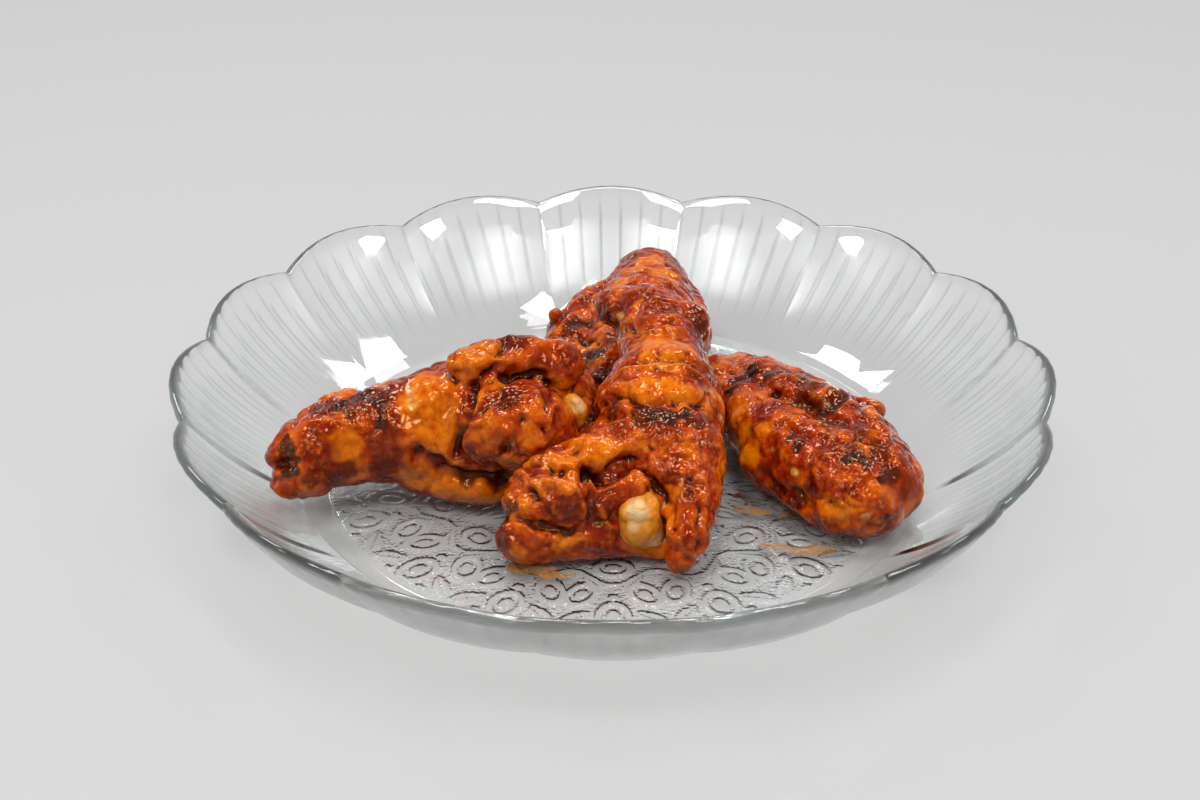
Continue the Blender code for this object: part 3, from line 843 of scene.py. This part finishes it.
backWing = {
    "place": (17, 103, 8), "yaw": -103, "pitch": 2, "seed": 9.3,
    "lumps": 0.6, "billows": 0.8, "wrinkles": 0.84, "blisters": 0.45, "grain": 0.06,
    "wrinkled": (1.5, 0.6, 1),
    "strands": {
        "limb": [(20, 0, 12, 12.5), (32, 2, 12, 14.5), (43, 3, 12, 16.5), (54, 3, 10.5, 16),
                 (66, 2, 9, 14), (78, 0, 8, 11)],
        "outerEdge": [(28, 9, 10, 10), (44, 14, 10, 10.5), (58, 14, 9, 10)],
        "innerEdge": [(31, -7, 11, 9), (41, -12, 11.5, 10), (54, -15.5, 10, 10), (66, -13, 8, 10),
                      (76, -6, 7, 9)],
        "tagOfSkin": [(54, -20, 15, 3), (56, -22.5, 19.5, 1.8)],
    },
    "creases": [
        (1.2, 1.6, [(63.2, -18.7, 16.9), (65.5, -11.9, 17.2), (73.2, -2.4, 21)]),
        (1.2, 1.6, [(75.4, -14.2, 13.9), (79.6, -7.1, 16.3), (81, -0.6, 18.9)]),
        (0.9, -0.8, [(55.6, -22.1, 20.6), (48, -18, 19.4), (41.9, -15.6, 20.6), (37.6, -11.5, 21.2),
                     (28.4, -10.1, 20)]),
    ],
    "sleek": [],
    "bubbly": [(45, 8, 26, 10), (55, 5, 26, 10)],
    "gold": [(27.2, 1.5, 25.3, 7), (45.4, -4, 26.2, 6), (36.6, 8.2, 26.4, 7), (48.1, -9.7, 21.8, 6),
             (60.3, -11.6, 17.8, 4), (35, -3, 26, 7), (70, -8, 18, 4)],
    "dark": [(59.8, -14.8, 18.9, 6), (74.8, -6.7, 18, 6), (84.1, -1.5, 17.2, 7), (52, 12, 24, 6),
             (66, 6, 22, 6)],
    "pale": [],
    "char": [(59.8, -14.8, 18.9, 3.6), (57.9, -10.6, 18.4, 3), (74.8, -6.7, 18, 3.6), (75.5, -3.4, 19.8, 3),
             (84.1, -1.5, 17.2, 3.6), (67.6, -9.9, 16.9, 2.2)],
}
rightWing = {
    "place": (28, 46, 4.8), "yaw": -59, "pitch": 0, "seed": 13.9,
    "lumps": 0.7, "billows": 1, "wrinkles": 0.72, "blisters": 0.6, "grain": 0.054, "wrinkled": (1, 1, 1),
    "strands": {
        "nearBone": [(10, 0, 8, 7), (22, -5, 9, 9), (40, -8, 9.5, 11), (58, -10, 10, 12), (76, -8, 10.5, 13),
                     (90, -6, 10, 11.5)],
        "farBone": [(13, 4, 9, 6.5), (26, 4, 11, 8.5), (42, 5.5, 12.5, 9.5), (58, 7, 12.5, 10),
                    (74, 5, 12.5, 11), (89, 1, 11.5, 11)],
        "ridge": [(30, 0, 16, 6), (46, 1, 18, 6.5), (58, 5, 18.5, 6)],
        "tagOfSkin": [(57, 13, 14, 5), (61, 19.5, 15, 2.4)],
        "hem": [(58, -17, 8, 7.5), (76, -15, 7.5, 7.2), (90, -12, 7, 7)],
    },
    "creases": [
        (1.3, 1.6, [(45.3, -7.1, 20.5), (53.4, -5.8, 20.8), (57.5, -0.1, 21.1), (61.6, 5.6, 23.1),
                    (59.9, 12.3, 21)]),
        (1.3, 1.6, [(61, -14.6, 20.7), (70.5, -14.5, 20.6), (80, -11.2, 22.8), (81.2, -1.9, 22.2),
                    (87.6, 1.8, 22.7)]),
        (1.4, 1.6, [(64.9, -23.6, 9.2), (75.1, -22.2, 9.2), (82.4, -20.6, 9.4), (87.2, -18.8, 4.9)]),
        (1.2, 1.8, [(58, 15.2, 19.2), (67.8, 7.4, 22.3), (76.2, 3.8, 22.8), (80.5, 5.4, 22.8)]),
        (1.2, 1.4, [(20, -9, 16), (26, -6, 19), (27, 0, 20), (24, 5, 18)]),
    ],
    "sleek": [(46.9, -19.9, 8.6, 6), (58.9, -22.9, 12.4, 6.5), (65.9, -22.6, 11, 5), (51.2, -19.5, 14.9, 5),
              (99.4, -1.5, 15.5, 6.5), (99.3, 2.5, 9.4, 6), (43.3, -15.3, 17.7, 4)],
    "bubbly": [(63.5, -9.5, 22, 8), (74.4, -7.2, 23.6, 9), (87.4, -6.5, 22, 8), (92.8, -13.6, 17.5, 8),
               (100.1, -8.7, 15.1, 6), (50.9, -4, 20.7, 7), (45, 3, 24, 6)],
    "gold": [(17, -6.1, 16.7, 5), (13.4, 2.5, 15, 5), (26.7, -2, 20.1, 3), (43.3, -15.3, 17.7, 5),
             (43.6, -17.8, 15.2, 5), (46.9, -19.9, 8.6, 6), (58.9, -22.9, 12.4, 6), (51.2, -19.5, 14.9, 5),
             (89.3, -18.3, 10.8, 5), (93.4, -16.8, 10.2, 5), (96.7, -14.5, 13.5, 3.5), (58.4, -17.8, 18.7, 4),
             (70, -19, 16.9, 3.5), (71.8, 8.6, 22.4, 3)],
    "dark": [(71, -22.6, 7.1, 5), (79.4, -21.8, 8.1, 5), (82.6, -19.3, 13.9, 4), (50, 3, 24, 8),
             (38, 2, 22, 7), (60, 6, 23, 6), (96, -3, 19, 5), (70, -4, 23, 7), (86, -8, 21, 6),
             (55, -2, 22, 6), (78, 0, 24, 6), (90, -2, 22, 5)],
    "pale": [(65.6, -19.9, 15.5, 1.6), (76.3, -20.3, 15.1, 1.8), (99, -13, 10.4, 2.2)],
    "char": [(31.7, -8.5, 19, 4), (34.4, -13.1, 18.3, 3.4), (31.7, -3.4, 19.9, 4), (37.4, -2.4, 21.9, 3.6),
             (60.6, 0.2, 21, 4.4), (62.1, 3.5, 22.3, 3.2), (68.6, -15.8, 20, 2.4), (87.1, -9.6, 21.2, 3.8),
             (91.2, -7.6, 21.1, 3.2), (97.2, -6.5, 19.1, 2.4), (73.6, -16.6, 19.6, 2.4),
             (101.8, -7, 10, 1.8)],
}
for name, wing, node in (("leftWing", leftWing, "left_wing"), ("frontWing", frontWing, "front_wing"),
                         ("backWing", backWing, "back_wing"), ("rightWing", rightWing, "right_wing")):
    made = makeWing(name, wing, glazedSkin)
    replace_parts(made, node)
    print(name, "made,", len(made.data.polygons), "faces")


bareBone = {
    "cream": (0.62, 0.45, 0.24),
    "yellow": (0.62, 0.24, 0.015),
    "amber": (0.50, 0.14, 0.004),
    "roughness": (0.3, 0.5),
    "coat": 0.25, "coatRoughness": 0.08,
    "bumpHeight": 0.0005,                     # metres
    "subsurface": 0.2, "spread": (1.0, 0.6, 0.3), "reach": 0.002,    # metres that light goes in
    "voxel": 0.4,
    "lumps": (4, 0.35), "grain": (1.6, 0.12),    # size and height in millimetres
}
frontBone = {
    "wing": frontWing, "smoothing": 10,
    "strands": {
        "shaft": [(58, 0, -3, 3.6), (76, -4, -2, 4.4), (84, -5.5, -1, 5.8), (87.0, -5.6, -0.6, 6.0)],
        "top": [(80, -5.8, 3.6, 3.8), (86.6, -5.8, 3.8, 3.8)],
        "leftCheek": [(84, -7.6, 3.2, 3.6), (86.4, -7.6, 3.2, 3.7), (86.6, -4.2, 3.2, 3.7)],
        "rightCheek": [(84, -3.8, 3.2, 3.6), (86.6, -4.2, 3.2, 3.7), (88.4, -2.2, -4.0, 3.4)],
        "lowerLeft": [(84, -9.2, -4.0, 3.4), (88.6, -9.4, -4.0, 3.4), (88.4, -2.2, -4.0, 3.4)],
        "lowerRight": [(84, -2.2, -4.0, 3.4), (88.4, -2.0, -4.0, 3.4)],
    },
    "clean": [(88.5, -6.5, 7.6, 5), (91.5, -8, 4.2, 2.8), (91.8, -1.2, -2.6, 4.2),
              (91.5, -12.2, -4, 3.2)],
    "creases": [],
}
leftBone = {
    "wing": leftWing, "smoothing": 4,
    "strands": {
        "shaft": [(70, 2, 21, 3.2), (80, -2.5, 25, 3.4), (86, -6.3, 26.8, 3.7)],
        "tip": [(85.3, -5.8, 29.0, 3.1), (86.2, -6.6, 24.6, 3.2)],
    },
    "clean": [(87, -9, 30.5, 3.4)],
    "creases": [(0.6, 0.4, [(84, -8.5, 31), (87, -9.8, 27), (86, -9.5, 23)])],
}


def makeBoneMaterial():
    material, tree, shader = nodeMaterial("bareBone")
    mottled = rampNode(tree, noiseNode(tree, 260, 4, 0.6), [(0.38, 0.0), (0.62, 0.6)])
    colour = mixColour(tree, mottled, bareBone["cream"], bareBone["yellow"])
    stain = rampNode(tree, noiseNode(tree, 420, 3, 0.6),
                     [(0.3, bareBone["amber"]), (0.6, bareBone["yellow"])])
    colour = mixColour(tree, fieldNode(tree, "clean"), stain, colour)
    smoothest, roughest = bareBone["roughness"]
    roughness = rampNode(tree, noiseNode(tree, 500, 2), [(0.3, smoothest), (0.7, roughest)])
    normal = bumpNode(tree, [(noiseNode(tree, 700, 3, 0.6), 1.0)], bareBone["bumpHeight"])
    plug(tree, shader, {"Base Color": colour, "Roughness": roughness, "Normal": normal, "Coat Normal": normal,
                        "Subsurface Weight": bareBone["subsurface"], "Subsurface Radius": bareBone["spread"],
                        "Subsurface Scale": bareBone["reach"], "Specular Tint": glaze["shine"],
                        "Coat Weight": bareBone["coat"], "Coat Roughness": bareBone["coatRoughness"]})
    return material


boneMaterial = makeBoneMaterial()


def makeBone(name, bone):
    place = frameOf(bone["wing"])
    made = fuseStrands(name, bone["strands"].values(), place, boneMaterial, bareBone["voxel"],
                       bone["smoothing"])
    points = getPoints(made)
    local = toFrame(points, place)
    layers = ((*bareBone["lumps"], 2), (*bareBone["grain"], 5))
    lift = sum(height * noiseAt(local, size, seed) for size, height, seed in layers)
    for width, depth, line in bone["creases"]:
        lift -= depth * softLine(distanceTo(local, line), width)
    points += getNormals(made) * (lift * mm)[:, None]
    setPoints(made, points)
    setField(made, "clean", spotField(local, bone["clean"]))
    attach(made, "root")
    return made


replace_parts(makeBone("frontBone", frontBone), "front_wing_bone")
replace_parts(makeBone("leftBone", leftBone), "left_wing_bone")
print("bones made")


sauce = {
    "amber": (0.40, 0.17, 0.025),
    "crumb": (0.15, 0.014, 0.001),
    "cover": 0.55, "crumbCover": 1.0,         # how much of what lies below they hide
    "roughness": 0.2,
    "thickness": 0.3, "lift": 0.1,            # of a smear and over the glass, in millimetres
    # along, across, length, width, turned by degrees, seed
    "smears": [(-22, -55, 13, 5, -12, 1), (-14.6, -58.2, 8, 3.2, 8, 2), (44.2, -44, 9, 3.4, -6, 3),
               (54.4, -45.8, 12, 4.6, 4, 4), (38.6, -25.8, 10, 3.2, -14, 5), (50, -27.6, 8, 2.8, 12, 6)],
    # along, across, size, seed
    "crumbs": [(35.3, -18.6, 1.6, 1), (37.6, -22.4, 0.9, 2), (30.4, -34, 0.8, 3)],
}


def makeSauceMaterial(name, colour, cover):
    material, tree, shader = nodeMaterial(name)
    patchy = rampNode(tree, noiseNode(tree, 380, 4, 0.6), [(0.36, 0.15 * cover), (0.58, cover)])
    plug(tree, shader, {"Base Color": colour, "Roughness": sauce["roughness"], "Alpha": patchy})
    return material


def makeBlob(name, place, size, turned, seed, material):
    # a ball pressed flat, with an uneven outline
    mesh = bmesh.new()
    bmesh.ops.create_icosphere(mesh, subdivisions=5, radius=1)
    made = newObject(name, mesh, material)
    points = getPoints(made)
    uneven = 1 + 0.35 * noiseAt(points, 0.9, seed) + 0.22 * noiseAt(points, 0.35, seed + 5)
    points *= uneven[:, None] * np.array(size) / 2
    turn = np.array(Matrix.Rotation(math.radians(turned), 3, "Z"))
    setPoints(made, (points @ turn.T + place) * mm)
    made.data.shade_smooth()
    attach(made, "root")


thinSauce = makeSauceMaterial("thinSauce", sauce["amber"], sauce["cover"])
crumbMaterial = makeSauceMaterial("crumb", sauce["crumb"], sauce["crumbCover"])
for number, (along, across, length, width, turned, seed) in enumerate(sauce["smears"], 1):
    place = (along, across, plate["floorTop"] + sauce["lift"])
    makeBlob(f"smear{number}", place, (length, width, sauce["thickness"]), turned, seed, thinSauce)
for number, (along, across, size, seed) in enumerate(sauce["crumbs"], 1):
    place = (along, across, plate["floorTop"] + 0.4 * size)
    makeBlob(f"crumb{number}", place, (1.7 * size, size, size), 40 * seed, seed, crumbMaterial)
print("smears and crumbs made")


camera = {
    "place": (-3.5, -569.0, 349.9),     # millimetres from the middle of the plate
    "lookDown": 29.68,                  # degrees
    "lens": 68.9,
}
studio = {
    "sky": [(0.0, 0.66), (0.25, 0.6), (0.6, 0.34), (1.0, 0.26)],      # how bright, from the horizon up
    "floor": (0.4, 0.4, 0.4), "floorRoughness": 0.6, "floorSize": 6,
    "gap": 0.05,                        # millimetres between the floor and the plate's foot
    # name, place in metres, size, watts
    "softboxes": [
        ("softboxOverCameraLeft", (-0.4, -0.5, 1.25), (0.36, 0.28), 6.2),
        ("softboxOverCameraRight", (0.4, -0.5, 1.25), (0.36, 0.28), 5.6),
        ("softboxOverhead", (0.05, 0.1, 1.4), (0.36, 0.28), 6.4),
        ("softboxBehindLeft", (-0.5, 0.75, 1.1), (0.36, 0.28), 5.0),
        ("softboxBehindRight", (0.6, 0.7, 1.1), (0.34, 0.26), 4.0),
        ("softboxLeft", (-1.0, -0.3, 0.9), (0.22, 0.22), 2.2),
        ("softboxRight", (1.0, -0.3, 0.9), (0.22, 0.22), 2.2),
    ],
}


def makeFloor():
    material, tree, shader = nodeMaterial("paleFloor")
    plug(tree, shader, {"Base Color": studio["floor"], "Roughness": studio["floorRoughness"]})
    mesh = bmesh.new()
    bmesh.ops.create_grid(mesh, x_segments=1, y_segments=1, size=studio["floorSize"])
    bmesh.ops.translate(mesh, verts=mesh.verts, vec=(0, 0, -studio["gap"] * mm))
    newObject("floor", mesh, material)


def addCamera():
    data = bpy.data.cameras.new("camera")
    data.lens = camera["lens"]
    made = bpy.data.objects.new("camera", data)
    made.location = Vector(camera["place"]) * mm
    made.rotation_euler = (math.radians(90 - camera["lookDown"]), 0, 0)
    bpy.context.scene.collection.objects.link(made)
    bpy.context.scene.camera = made


def addLight(name, place, size, power):
    data = bpy.data.lights.new(name, "AREA")
    data.shape = "RECTANGLE"
    data.size, data.size_y = size
    data.energy = power
    made = bpy.data.objects.new(name, data)
    made.location = place
    made.rotation_euler = Vector(place).to_track_quat("Z", "Y").to_euler()
    bpy.context.scene.collection.objects.link(made)


def addSky():
    # paler towards the horizon than overhead
    made = bpy.data.worlds.new("studio")
    made.use_nodes = True
    tree = made.node_tree
    where = addNode(tree, "ShaderNodeTexCoord")
    parts = addNode(tree, "ShaderNodeSeparateXYZ")
    tree.links.new(where.outputs["Generated"], parts.inputs[0])
    pale = rampNode(tree, parts.outputs["Z"], studio["sky"])
    tree.links.new(pale, tree.nodes["Background"].inputs["Color"])
    bpy.context.scene.world = made


makeFloor()
addCamera()
for name, place, size, power in studio["softboxes"]:
    addLight(name, place, size, power)
addSky()
bpy.context.scene.view_settings.view_transform = "Standard"
bpy.context.scene.cycles.max_bounces = 12               # light runs a long way round inside the rim
bpy.context.scene.cycles.glossy_bounces = 6
bpy.context.scene.cycles.transmission_bounces = 12
print("stage set")
